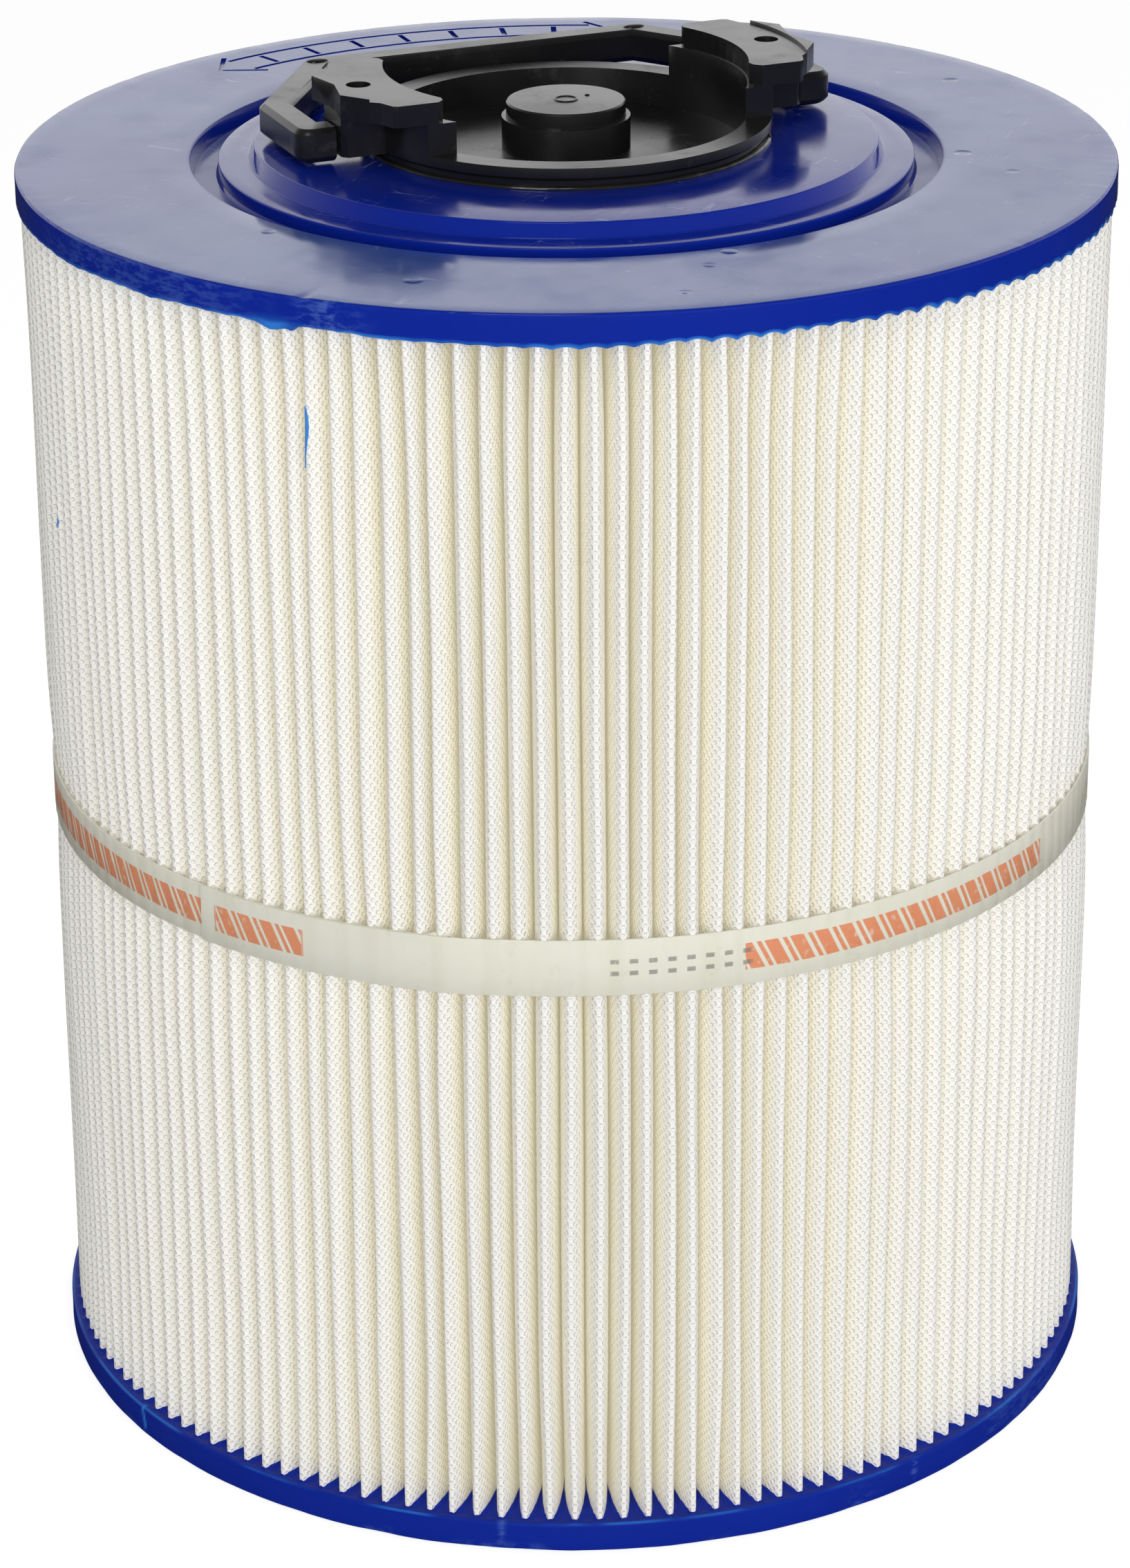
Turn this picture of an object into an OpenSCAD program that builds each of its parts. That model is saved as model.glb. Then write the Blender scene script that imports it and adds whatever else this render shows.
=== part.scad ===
// Pleated pool and spa filter cartridge with a bayonet hub and a folding lifting handle.
// Millimetres. +Z runs up the cartridge axis and the origin is the centre of the bottom cap's
// underside. +X runs through the two hub lugs, which is also the handle's pivot axis, and the
// folded handle lies towards +Y.

/* [Cartridge] */
// Height between the outer faces of the two end caps
body_h = 252; // [150:1:400]
// Radius of the top end cap
top_cap_r = 107.5; // [107.5:0.1:108.5]
// Radius of the bottom end cap
bottom_cap_r = 108.5; // [108:0.1:110]
// Thickness of both end caps at the rim
cap_t = 6.2; // [5:0.1:8]

/* [Top cap face] */
// Inner radius of the ring groove in the top face
groove_in_r = 68; // [66:0.1:69]
// Outer radius of the ring groove in the top face
groove_out_r = 73.5; // [71:0.1:76]
// Depth of the ring groove
groove_depth = 3; // [1:0.1:4]
// Radius of the raised plateau at its foot
plateau_r = 62; // [60:0.1:65]
// Height of the raised plateau above the top face
plateau_h = 2.95; // [1:0.05:3]

/* [Pleated media] */
// Number of pleats
pleats = 144; // [120:1:150]
// Radius of the outer pleat tips
pleat_tip_r = 106.7; // [100:0.1:106.7]
// Radius of the inner pleat folds
pleat_root_r = 52.6; // [52.6:0.1:60]
// Thickness of the filter sheet
sheet_t = 0.6; // [0.4:0.05:0.7]
// Depth to which the pleats and the core are potted in each end cap
potting = 3; // [1:0.1:4]

/* [Core] */
// Outer radius of the perforated core
core_r = 52; // [50:0.1:52.2]
// Wall thickness of the core
core_wall = 3; // [2.5:0.1:3.2]
// Windows round the core in each row, an even number
core_windows = 12; // [8:2:16]
// Rows of windows in each core section
core_rows = 6; // [3:1:7]

/* [Retaining band] */
// Width of the band
band_w = 11.4; // [8:0.1:16]
// Thickness of the band
band_t = 0.5; // [0.3:0.05:0.7]
// Angle over which the band's two ends overlap
band_overlap = 28; // [10:1:40]
// Depth to which the band pinches the pleat tips
band_pinch = 0.4; // [0:0.1:0.8]

/* [Hub] */
// Outer radius of the hub cup where it leaves the plateau
hub_r = 39.2; // [38:0.1:40]
// Outer radius of the hub cup's rim
hub_rim_r = 40.3; // [40:0.1:41]
// Inner radius of the hub cup
hub_in_r = 35.3; // [34:0.1:36]
// Height of the hub rim above the top face
hub_rim_h = 7.3; // [6.5:0.1:8]
// Height of the hub floor above the top face
hub_floor_h = 0.6; // [0:0.1:1.5]
// Outer radius of the collar round the centre plug
collar_r = 12.6; // [12.4:0.1:14]
// Height of that collar above the top face
collar_h = 7; // [5:0.1:8]
// Radius of the centre plug
plug_r = 11.7; // [9:0.1:11.7]
// Height of the centre plug above the top face
plug_h = 10; // [8:0.1:12]

/* [Lugs] */
// Height of the underside of the lug plates above the top face
lug_z = 13.3; // [13:0.1:16]
// Thickness of the lug plates
lug_t = 4.2; // [3:0.1:6]
// Height of the raised lip along the outer edge of a lug plate
lug_lip_h = 0.55; // [0.3:0.05:1]
// Distance from the axis to each lug hole
lug_hole_x = 42.9; // [42:0.1:44]
// Radius of the lug holes
lug_hole_r = 2.4; // [1.5:0.1:2.5]

/* [Handle] */
// Height of the pivot axis above the top face
pivot_h = 8.2; // [7.8:0.1:8.6]
// Radius of the handle's two pivot pins
pivot_pin_r = 2; // [1.5:0.05:2.2]
// Radial running clearance of a pivot pin in its bore
pivot_gap = 0.06; // [0.01:0.01:0.1]
// Distance from the axis to the middle of a handle leg
leg_x = 53.1; // [53:0.1:55]
// Distance from the pivot axis to the middle of the grip
grip_y = 46.7; // [46.7:0.1:50]
// Half of the length of the grip between its corners
grip_half = 34.6; // [30:0.1:38]
// Width of the handle bar
bar_w = 6.4; // [5:0.1:6.4]

/* [Outlet] */
// Radius of the outlet bore in the bottom of the cartridge
outlet_r = 27; // [20:0.1:30]
// Length of the outlet bore
outlet_len = 16; // [8:0.5:30]

/* [Hidden] */

$fn = 96;
eps = 0.01;
far = 400;

top_cap_z = body_h - cap_t;         // underside of the top cap
core_in_r = core_r - core_wall;
core_z0 = cap_t - potting;          // lower end of the core and of the pleats
core_z1 = top_cap_z + potting;      // upper end of the core and of the pleats
core_mid_z = body_h / 2;
core_fit = 0.1;                     // gap in the joint of the two core sections
core_lap = 8;                       // length of that joint
spigot_gap = 0.2;                   // gap of a locating spigot inside the core
spigot_wall = 2.4;
spigot_len = 10;
flange_t = 1.8;                     // anchor flange of the hub and of the outlet ring
hub_flange_z = core_z1;
outlet_flange_z = core_z0 - flange_t;
plateau_top_r = plateau_r - 1;
groove_bevel = 0.9;

fold_tip = 1.1;                     // outer radius of a pleat's outer fold
fold_root = 0.75;                   // outer radius of a pleat's inner fold
pleat_pitch = 360 / pleats;

band_r = pleat_tip_r - band_pinch;  // inner radius of the band
band_z = body_h / 2 - band_w / 2 - 1;
band_seam_az = -140;                // middle of the band's overlap, seen from above

hub_floor_t = 2.6;
plug_gap = 0.05;                    // gap round the centre plug
plug_seat_h = 2;                    // height of the plug's seat above the top face
block_x0 = 38.5;
block_x1 = 48.3;
block_half_y = 5.75;
block_z = 5;                        // underside of a pivot block above the top face
block_chamfer = 0.8;
pin_end_x = 41.5;                   // inner end of a pivot pin
pin_bore_x = 41;
bar_r = 3.9;                        // radius of the bar's round underside
bar_mid_h = 7.26;                   // height of that radius' centre above the top face
bar_top = 3.2;                      // flat top of the bar above that centre
root_x = 48.7;                      // where the bar ends beside the pivot block
leg_y = 19.2;                       // where a leg turns in towards the grip

// ---------------------------------------------------------------- helpers

function polar(r, a) = [r * cos(a), r * sin(a)];

// Points of an arc of radius r round centre c, from angle a0 to a1 in n steps
function arc(c, r, a0, a1, n) =
    [for (i = [0:n]) c + polar(r, a0 + (a1 - a0) * i / n)];

// Flat ring, r1 > r0
module ring(r0, r1, z0, z1) {
    translate([0, 0, z0])
        difference() {
            cylinder(r = r1, h = z1 - z0);
            translate([0, 0, -eps])
                cylinder(r = r0, h = z1 - z0 + 2 * eps);
        }
}

// Everything inside the horizontal sector from angle a0 to a1, under 180 degrees wide
module sector(a0, a1, z0, z1) {
    translate([0, 0, z0])
        linear_extrude(z1 - z0)
            polygon([[0, 0], polar(far, a0), polar(far, (a0 + a1) / 2), polar(far, a1)]);
}

// Ring that locates a part inside the end of the core
module spigot(z0, z1) {
    ring(core_in_r - spigot_gap - spigot_wall, core_in_r - spigot_gap, z0, z1);
}

// ---------------------------------------------------------------- end caps

module top_end_cap() {
    color("mediumblue")
        difference() {
            rotate_extrude()
                polygon([
                    [hub_r, top_cap_z],
                    [top_cap_r, top_cap_z],
                    [top_cap_r, body_h - 0.5],
                    [top_cap_r - 0.5, body_h],
                    [groove_out_r, body_h],
                    [groove_out_r - groove_bevel, body_h - groove_depth],
                    [groove_in_r, body_h - groove_depth],
                    [groove_in_r, body_h],
                    [plateau_r, body_h],
                    [plateau_top_r, body_h + plateau_h],
                    [hub_r, body_h + plateau_h]
                ]);
            // recess for the potted end of the core and the hub's flange
            translate([0, 0, top_cap_z - eps])
                cylinder(r = core_r, h = potting + flange_t + eps);
        }
}

module bottom_end_cap() {
    color("mediumblue")
        difference() {
            rotate_extrude()
                polygon([
                    [outlet_r + 3, 0],
                    [bottom_cap_r - 0.6, 0],
                    [bottom_cap_r, 0.6],
                    [bottom_cap_r, cap_t],
                    [outlet_r + 3, cap_t]
                ]);
            // recess for the potted end of the core and the outlet ring's flange
            translate([0, 0, outlet_flange_z])
                cylinder(r = core_r, h = potting + flange_t + eps);
        }
}

// ---------------------------------------------------------------- media

// One side of the folded sheet: the tips have radius rt and the inner folds radius rr
function pleat_side(rt, rr) = [
    for (i = [0:pleats - 1])
        let (
            tip = polar(pleat_tip_r - fold_tip, i * pleat_pitch),
            root_a = (i + 0.5) * pleat_pitch,
            root = polar(pleat_root_r + fold_root, root_a)
        )
        each concat(
            arc(tip, rt, i * pleat_pitch - 90, i * pleat_pitch + 90, 4),
            arc(root, rr, root_a + 270, root_a + 90, 2)
        )
];

module pleat_pack() {
    color("ivory")
        translate([0, 0, core_z0])
            linear_extrude(core_z1 - core_z0)
                difference() {
                    polygon(pleat_side(fold_tip, fold_root - sheet_t));
                    polygon(pleat_side(fold_tip - sheet_t, fold_root));
                }
}

// Adhesive bead in the valley where the two ends of the sheet meet
module pleat_seam_bead() {
    color("wheat")
        rotate([0, 0, (floor(pleats / 4) + 0.5) * pleat_pitch])
            translate([80, -0.5, cap_t])
                cube([20, 1, top_cap_z - cap_t]);
}

// ---------------------------------------------------------------- core

// Window rows between heights z0 and z1
module core_cuts(z0, z1) {
    row_h = (z1 - z0) / core_rows;
    window_h = row_h - 4.5;
    window_w = 2 * core_in_r * sin(180 / core_windows) - 6;
    for (row = [0:core_rows - 1], i = [0:core_windows / 2 - 1])
        rotate([0, 0, i * 360 / core_windows])
            translate([-core_r - 5, -window_w / 2, z0 + row * row_h + 2.25])
                cube([2 * core_r + 10, window_w, window_h]);
}

module core_lower() {
    color("whitesmoke")
        difference() {
            union() {
                ring(core_in_r, core_r, core_z0, core_mid_z);
                ring(core_in_r, core_r - core_wall / 2 - core_fit, core_mid_z - eps,
                    core_mid_z + core_lap);
            }
            core_cuts(cap_t + 10, core_mid_z - 2);
        }
}

module core_upper() {
    color("whitesmoke")
        difference() {
            ring(core_in_r, core_r, core_mid_z, core_z1);
            translate([0, 0, core_mid_z - eps])
                cylinder(r = core_r - core_wall / 2, h = core_lap + 0.5);
            core_cuts(core_mid_z + core_lap + 2, top_cap_z - 8);
        }
}

// ---------------------------------------------------------------- band

module retaining_band() {
    color("lightyellow") {
        ring(band_r, band_r + band_t, band_z, band_z + band_w);
        intersection() {
            ring(band_r + band_t / 2, band_r + 2 * band_t, band_z, band_z + band_w);
            sector(band_seam_az - band_overlap / 2, band_seam_az + band_overlap / 2,
                band_z - 1, band_z + band_w + 1);
        }
    }
}

// ---------------------------------------------------------------- hub

// Half outline of a lug plate, from the inner arc out to the notch on the X axis
function lug_half() = concat(
    arc([0, 0], 35.6, 0, 26, 6),
    [[32.3, 17.2], [33.6, 18.5], [41.6, 18.5], [42.6, 17.9], [43.9, 14.6], [45.6, 13.2],
     [49.5, 8], [47.8, 0]]
);

module lug_outline() {
    half = lug_half();
    polygon(concat(half, [for (i = [len(half) - 2:-1:1]) [half[i][0], -half[i][1]]]));
}

// The ring wall carried up under the plate
module lug_wall() {
    intersection() {
        ring(hub_in_r, hub_rim_r, body_h + hub_rim_h - 1, body_h + lug_z + eps);
        translate([0, -18.5, body_h])
            cube([60, 37, 30]);
    }
}

module pivot_block() {
    difference() {
        translate([block_x0, -block_half_y, body_h + block_z])
            cube([block_x1 - block_x0, 2 * block_half_y, lug_z - block_z + eps]);
        for (side = [-1, 1])
            translate([block_x1, side * block_half_y, body_h + block_z - 1])
                rotate([0, 0, 45])
                    cube([2 * block_chamfer, 2 * block_chamfer, 40], center = true);
    }
}

module lug() {
    difference() {
        union() {
            translate([0, 0, body_h + lug_z])
                linear_extrude(lug_t)
                    lug_outline();
            // the lip runs along the plate's outer edge only
            translate([0, 0, body_h + lug_z + lug_t - eps])
                linear_extrude(lug_lip_h + eps)
                    difference() {
                        lug_outline();
                        circle(r = 47.4);
                    }
            lug_wall();
            pivot_block();
        }
        // lug hole, blind above the pivot bore
        translate([lug_hole_x, 0, body_h + lug_z - 1.6])
            cylinder(r = lug_hole_r, h = lug_t + 10);
        // pivot bore
        translate([pin_bore_x, 0, body_h + pivot_h])
            rotate([0, 90, 0])
                cylinder(r = pivot_pin_r + pivot_gap, h = 20);
    }
}

module bayonet_hub() {
    floor_z = body_h + hub_floor_h;
    color("dimgray") {
        difference() {
            union() {
                rotate_extrude()
                    polygon([
                        [0, floor_z - hub_floor_t],
                        [hub_r, floor_z - hub_floor_t],
                        [hub_r, body_h + 4.6],
                        [hub_rim_r, body_h + 5.4],
                        [hub_rim_r, body_h + hub_rim_h],
                        [hub_in_r, body_h + hub_rim_h],
                        [hub_in_r, floor_z],
                        [0, floor_z]
                    ]);
                // collar round the centre plug
                translate([0, 0, floor_z - eps])
                    cylinder(r = collar_r, h = collar_h - hub_floor_h + eps);
                // anchor flange in the cap and spigot in the core
                ring(hub_r - 6, core_r, hub_flange_z, hub_flange_z + flange_t);
                spigot(hub_flange_z - spigot_len, hub_flange_z + eps);
                }
            // seat of the centre plug
            translate([0, 0, body_h + plug_seat_h])
                cylinder(r = plug_r + plug_gap, h = 20);
        }
        lug();
        rotate([0, 0, 180])
            lug();
    }
}

module centre_plug() {
    color("dimgray")
        rotate_extrude()
            polygon([
                [0, body_h + plug_seat_h],
                [plug_r - 0.8, body_h + plug_seat_h],
                [plug_r, body_h + plug_seat_h + 0.8],
                [plug_r, body_h + plug_h - 0.3],
                [plug_r - 0.3, body_h + plug_h],
                [0, body_h + plug_h]
            ]);
}

// ---------------------------------------------------------------- handle

// Section of the bar: flat on top, round underneath
module bar_section() {
    intersection() {
        circle(r = bar_r);
        translate([-bar_w / 2, -bar_r])
            square([bar_w, bar_r + bar_top]);
    }
}

// Straight bar between plan points p and q
module bar(p, q) {
    run = q - p;
    translate([p[0], p[1], body_h + bar_mid_h])
        rotate([0, 0, atan2(run[1], run[0]) - 90])
            rotate([-90, 0, 0])
                mirror([0, 1, 0])
                    linear_extrude(norm(run))
                        bar_section();
}

// Round corner of the bar at plan point p: the section turned about an upright axis
module bar_corner(p) {
    translate([p[0], p[1], body_h + bar_mid_h])
        rotate_extrude()
            intersection() {
                bar_section();
                translate([0, -10])
                    square([10, 20]);
            }
}

// Half of the handle, from the pivot pin to the middle of the grip
module handle_half() {
    elbow = [leg_x, 0];
    knee = [leg_x, leg_y];
    corner = [grip_half, grip_y];
    bar([root_x, 0], elbow);
    bar_corner(elbow);
    bar(elbow, knee);
    bar_corner(knee);
    bar(knee, corner);
    bar_corner(corner);
    bar(corner, [-eps, grip_y]);
    translate([pin_end_x, 0, body_h + pivot_h])
        rotate([0, 90, 0])
            cylinder(r = pivot_pin_r, h = root_x - pin_end_x + 1);
}

module bail_handle() {
    color("dimgray") {
        handle_half();
        mirror([1, 0, 0])
            handle_half();
    }
}

// ---------------------------------------------------------------- outlet

module outlet_ring() {
    color("dimgray")
        difference() {
            union() {
                cylinder(r = outlet_r + 3, h = outlet_len);
                translate([0, 0, outlet_flange_z])
                    cylinder(r = core_r, h = flange_t);
                spigot(core_z0 - eps, core_z0 + spigot_len);
            }
            translate([0, 0, -eps])
                cylinder(r = outlet_r, h = outlet_len + 1);
        }
}

top_end_cap();
bottom_end_cap();
pleat_pack();
pleat_seam_bead();
core_upper();
core_lower();
retaining_band();
bayonet_hub();
centre_plug();
bail_handle();
outlet_ring();
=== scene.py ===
import math

import bpy
import numpy as np
from mathutils import Matrix, Vector


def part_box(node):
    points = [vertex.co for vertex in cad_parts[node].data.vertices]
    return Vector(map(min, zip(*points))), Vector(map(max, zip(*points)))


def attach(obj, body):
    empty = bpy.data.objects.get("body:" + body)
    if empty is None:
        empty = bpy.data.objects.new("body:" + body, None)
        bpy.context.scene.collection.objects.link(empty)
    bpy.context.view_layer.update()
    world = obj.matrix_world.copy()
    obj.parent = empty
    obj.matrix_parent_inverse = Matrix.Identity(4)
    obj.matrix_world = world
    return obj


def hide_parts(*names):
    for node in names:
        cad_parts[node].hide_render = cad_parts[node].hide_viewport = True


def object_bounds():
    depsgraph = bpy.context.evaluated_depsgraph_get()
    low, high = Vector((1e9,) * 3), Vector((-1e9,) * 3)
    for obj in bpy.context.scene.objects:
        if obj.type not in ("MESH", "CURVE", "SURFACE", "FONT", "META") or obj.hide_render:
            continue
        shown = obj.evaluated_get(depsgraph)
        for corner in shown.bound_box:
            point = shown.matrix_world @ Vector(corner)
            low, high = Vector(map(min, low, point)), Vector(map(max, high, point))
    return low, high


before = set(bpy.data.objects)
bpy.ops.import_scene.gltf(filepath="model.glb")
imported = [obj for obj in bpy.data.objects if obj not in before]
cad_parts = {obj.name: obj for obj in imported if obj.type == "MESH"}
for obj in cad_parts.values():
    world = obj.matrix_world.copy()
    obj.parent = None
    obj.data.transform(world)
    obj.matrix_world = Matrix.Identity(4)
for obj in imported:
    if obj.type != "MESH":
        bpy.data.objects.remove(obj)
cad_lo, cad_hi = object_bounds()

# Lengths in this script are millimetres and angles are degrees, until a mesh is made.
# Azimuth is measured from +X towards +Y, seen from above.
MM = 0.001
rng = np.random.default_rng(20)


def node_box(name):
    """Lowest and highest corner of a CAD node, in millimetres."""
    lo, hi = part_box(name)
    return [v / MM for v in lo], [v / MM for v in hi]


# ------------------------ sizes taken from the frame

top_lo, top_hi = node_box("top_end_cap")
bottom_hi = node_box("bottom_end_cap")[1]
pack_lo, pack_hi = node_box("pleat_pack")
band_lo, band_hi = node_box("retaining_band")
PLUG_TOP = node_box("centre_plug")[1][2]
GRIP_TOP = node_box("bail_handle")[1][2]

CAP_T = bottom_hi[2]
TOP_R = top_hi[0]
BOTTOM_R = bottom_hi[0]
TOP_Z0 = top_lo[2]                 # underside of the top cap
TOP_Z1 = TOP_Z0 + CAP_T            # face of the top cap
PLATEAU_Z = top_hi[2]
TIP_R = pack_hi[0]
PACK_Z0, PACK_Z1 = pack_lo[2], pack_hi[2]
CORE_R = node_box("core_lower")[1][0]
BAND_Z0, BAND_Z1 = band_lo[2], band_hi[2]
BAND_MID = (BAND_Z0 + BAND_Z1) / 2

# The end caps' own dimensions, as in the CAD source
PLATEAU_R, PLATEAU_TOP_R = 62.0, 61.0
GROOVE_R0, GROOVE_R1, GROOVE_DEPTH, GROOVE_BEVEL = 68.0, 73.5, 3.0, 0.9
HUB_R = 39.2
HUB_FLANGE_Z = PACK_Z1 + 1.8
OUTLET_R = 30.0
OUTLET_FLANGE_Z = PACK_Z0 - 1.8
BAND_T = 0.5
BAND_R = band_hi[0] - 2 * BAND_T   # inner radius of the band


# ------------------------ mesh helpers

def face_outward(mesh):
    """Flips a closed mesh that is inside out, judged by the sign of its volume."""
    count = len(mesh.polygons)
    centres, normals, areas = np.empty(count * 3), np.empty(count * 3), np.empty(count)
    mesh.polygons.foreach_get("center", centres)
    mesh.polygons.foreach_get("normal", normals)
    mesh.polygons.foreach_get("area", areas)
    if ((centres * normals).reshape(-1, 3).sum(1) * areas).sum() < 0:
        mesh.flip_normals()


def mesh_piece(name, verts, faces, material, body="cartridge", smooth_angle=180.0):
    """A closed mesh from vertices in millimetres. Faces are an (n, 4) array or a list of index lists."""
    mesh = bpy.data.meshes.new(name)
    verts = np.asarray(verts, float) * MM
    if isinstance(faces, np.ndarray):
        count, side = faces.shape
        mesh.vertices.add(len(verts))
        mesh.vertices.foreach_set("co", verts.astype(np.float32).ravel())
        mesh.loops.add(count * side)
        mesh.loops.foreach_set("vertex_index", faces.astype(np.int32).ravel())
        mesh.polygons.add(count)
        mesh.polygons.foreach_set("loop_start", np.arange(0, count * side, side, dtype=np.int32))
        mesh.update(calc_edges=True)
    else:
        mesh.from_pydata([tuple(v) for v in verts], [], faces)
    mesh.validate()
    face_outward(mesh)
    mesh.polygons.foreach_set("use_smooth", np.ones(len(mesh.polygons), bool))
    piece = bpy.data.objects.new(name, mesh)
    bpy.context.scene.collection.objects.link(piece)
    if smooth_angle < 180:
        mesh.set_sharp_from_angle(angle=math.radians(smooth_angle))
    mesh.materials.append(material)
    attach(piece, body)
    return piece


def store(piece, name, values):
    """Keeps one number per vertex, for the material to read."""
    attribute = piece.data.attributes.new(name, "FLOAT", "POINT")
    attribute.data.foreach_set("value", np.asarray(values, np.float32).ravel())


def torus_grid(rows, columns):
    """Quads of a grid that closes on itself in both directions; vertex = row * columns + column."""
    r, c = np.meshgrid(np.arange(rows), np.arange(columns), indexing="ij")
    r1, c1 = (r + 1) % rows, (c + 1) % columns
    quads = np.stack([r * columns + c, r * columns + c1, r1 * columns + c1, r1 * columns + c], -1)
    return quads.reshape(-1, 4)


def smoothstep(x, lo, hi):
    t = np.clip((np.asarray(x, float) - lo) / (hi - lo), 0, 1)
    return t * t * (3 - 2 * t)


def bump_at(x, centre, width):
    """1 at centre, falling smoothly to 0 over a few widths."""
    return np.exp(-(((x - centre) / width) ** 2))


def wrap(angle):
    """The same angle between -180 and 180."""
    return (np.asarray(angle, float) + 180) % 360 - 180


def ring_noise(azimuth, detail, seed):
    """Smooth noise round the circle, about -1 to 1; detail is the number of waves round it."""
    source = np.random.default_rng(seed)
    total = np.zeros_like(np.asarray(azimuth, float))
    for octave in range(3):
        waves = detail * 2 ** octave
        knots = source.uniform(-1, 1, waves)
        x = (np.asarray(azimuth, float) % 360) / 360 * waves
        i = np.floor(x).astype(int)
        t = x - i
        t = t * t * (3 - 2 * t)
        total += (knots[i % waves] * (1 - t) + knots[(i + 1) % waves] * t) / 2 ** octave
    return total / 1.6


def polar(radius, azimuth):
    a = np.radians(azimuth)
    return np.stack([radius * np.cos(a), radius * np.sin(a)], -1)


# ------------------------ material helpers

class Nodes:
    """Short calls for building a node material, whose lengths are metres."""

    def __init__(self, name):
        self.material = bpy.data.materials.new(name)
        self.start(self.material)
        self.out = self.tree.nodes.new("ShaderNodeOutputMaterial")
        self.object = self.tree.nodes.new("ShaderNodeTexCoord").outputs["Object"]

    def start(self, owner):
        """Takes over the empty node tree of a material or a world."""
        owner.use_nodes = True
        self.tree = owner.node_tree
        self.tree.nodes.clear()

    def put(self, socket, value):
        if isinstance(value, bpy.types.NodeSocket):
            self.tree.links.new(value, socket)
        elif isinstance(value, tuple) and len(value) == 3 and socket.type == "RGBA":
            socket.default_value = (*value, 1.0)
        elif value is not None:
            socket.default_value = value

    def math(self, operation, a, b=None):
        node = self.tree.nodes.new("ShaderNodeMath")
        node.operation = operation
        for socket, value in zip(node.inputs, (a, b)):
            self.put(socket, value)
        return node.outputs[0]

    def times(self, a, b):
        return self.math("MULTIPLY", a, b)

    def plus(self, a, b):
        return self.math("ADD", a, b)

    def minus(self, a, b):
        return self.math("SUBTRACT", a, b)

    def axis_distance(self, x, y):
        """Distance from the cartridge's axis, in metres."""
        return self.math("SQRT", self.plus(self.times(x, x), self.times(y, y)))

    def geometry_normal(self):
        return self.tree.nodes.new("ShaderNodeNewGeometry").outputs["Normal"]

    def split(self, vector):
        node = self.tree.nodes.new("ShaderNodeSeparateXYZ")
        self.put(node.inputs[0], vector)
        return node.outputs

    def join(self, x, y, z=0.0):
        node = self.tree.nodes.new("ShaderNodeCombineXYZ")
        for socket, value in zip(node.inputs, (x, y, z)):
            self.put(socket, value)
        return node.outputs[0]

    def attribute(self, name):
        node = self.tree.nodes.new("ShaderNodeAttribute")
        node.attribute_name = name
        return node.outputs["Fac"]

    def noise(self, vector, scale, detail=2.0, rough=0.5):
        """Noise about 0.5, with scale waves per metre."""
        node = self.tree.nodes.new("ShaderNodeTexNoise")
        self.put(node.inputs["Vector"], vector)
        node.inputs["Scale"].default_value = scale
        node.inputs["Detail"].default_value = detail
        node.inputs["Roughness"].default_value = rough
        return node.outputs["Fac"]

    def cells(self, vector, scale):
        """Distance to the nearest of random points, with scale points per metre."""
        node = self.tree.nodes.new("ShaderNodeTexVoronoi")
        self.put(node.inputs["Vector"], vector)
        node.inputs["Scale"].default_value = scale
        return node.outputs["Distance"]

    def step(self, value, lo, hi, to_lo=0.0, to_hi=1.0):
        """Smooth step from to_lo at lo to to_hi at hi."""
        node = self.tree.nodes.new("ShaderNodeMapRange")
        node.interpolation_type = "SMOOTHSTEP"
        for socket, number in zip(node.inputs, (value, lo, hi, to_lo, to_hi)):
            self.put(socket, number)
        return node.outputs[0]

    def mix(self, factor, a, b):
        node = self.tree.nodes.new("ShaderNodeMix")
        node.data_type = "RGBA"
        self.put(node.inputs["Factor"], factor)
        self.put(node.inputs[6], a)
        self.put(node.inputs[7], b)
        return node.outputs[2]

    def bump(self, height, distance, strength=1.0):
        """Height of 1 is distance millimetres."""
        node = self.tree.nodes.new("ShaderNodeBump")
        node.inputs["Distance"].default_value = distance * MM
        node.inputs["Strength"].default_value = strength
        self.put(node.inputs["Height"], height)
        return node.outputs[0]

    def surface(self, **inputs):
        """The Principled shader; underscores in a name stand for spaces."""
        node = self.tree.nodes.new("ShaderNodeBsdfPrincipled")
        for name, value in inputs.items():
            self.put(node.inputs[name.replace("_", " ")], value)
        self.tree.links.new(node.outputs[0], self.out.inputs["Surface"])


# ------------------------ materials

SHEET_PAINTED_GLOW = (1.0, 0.94, 0.78)     # painted glow: a constant emission that stands in for light coming through the sheet from the pleats behind
SHEET_GLOW_LEVEL = 0.08

DIMPLE_PITCH = (1.9, 1.85)         # of the bonding points, across the sheet and up it
SHEET_WHITE = ((0.955, 0.945, 0.915), (0.97, 0.965, 0.94))
VALLEY_PAINTED_SHADE = (0.95, 0.92, 0.80)
VALLEY_DEPTH = (4.5, 0.8)          # inside the tips: all painted cream shade from the first, all white from the second


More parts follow.
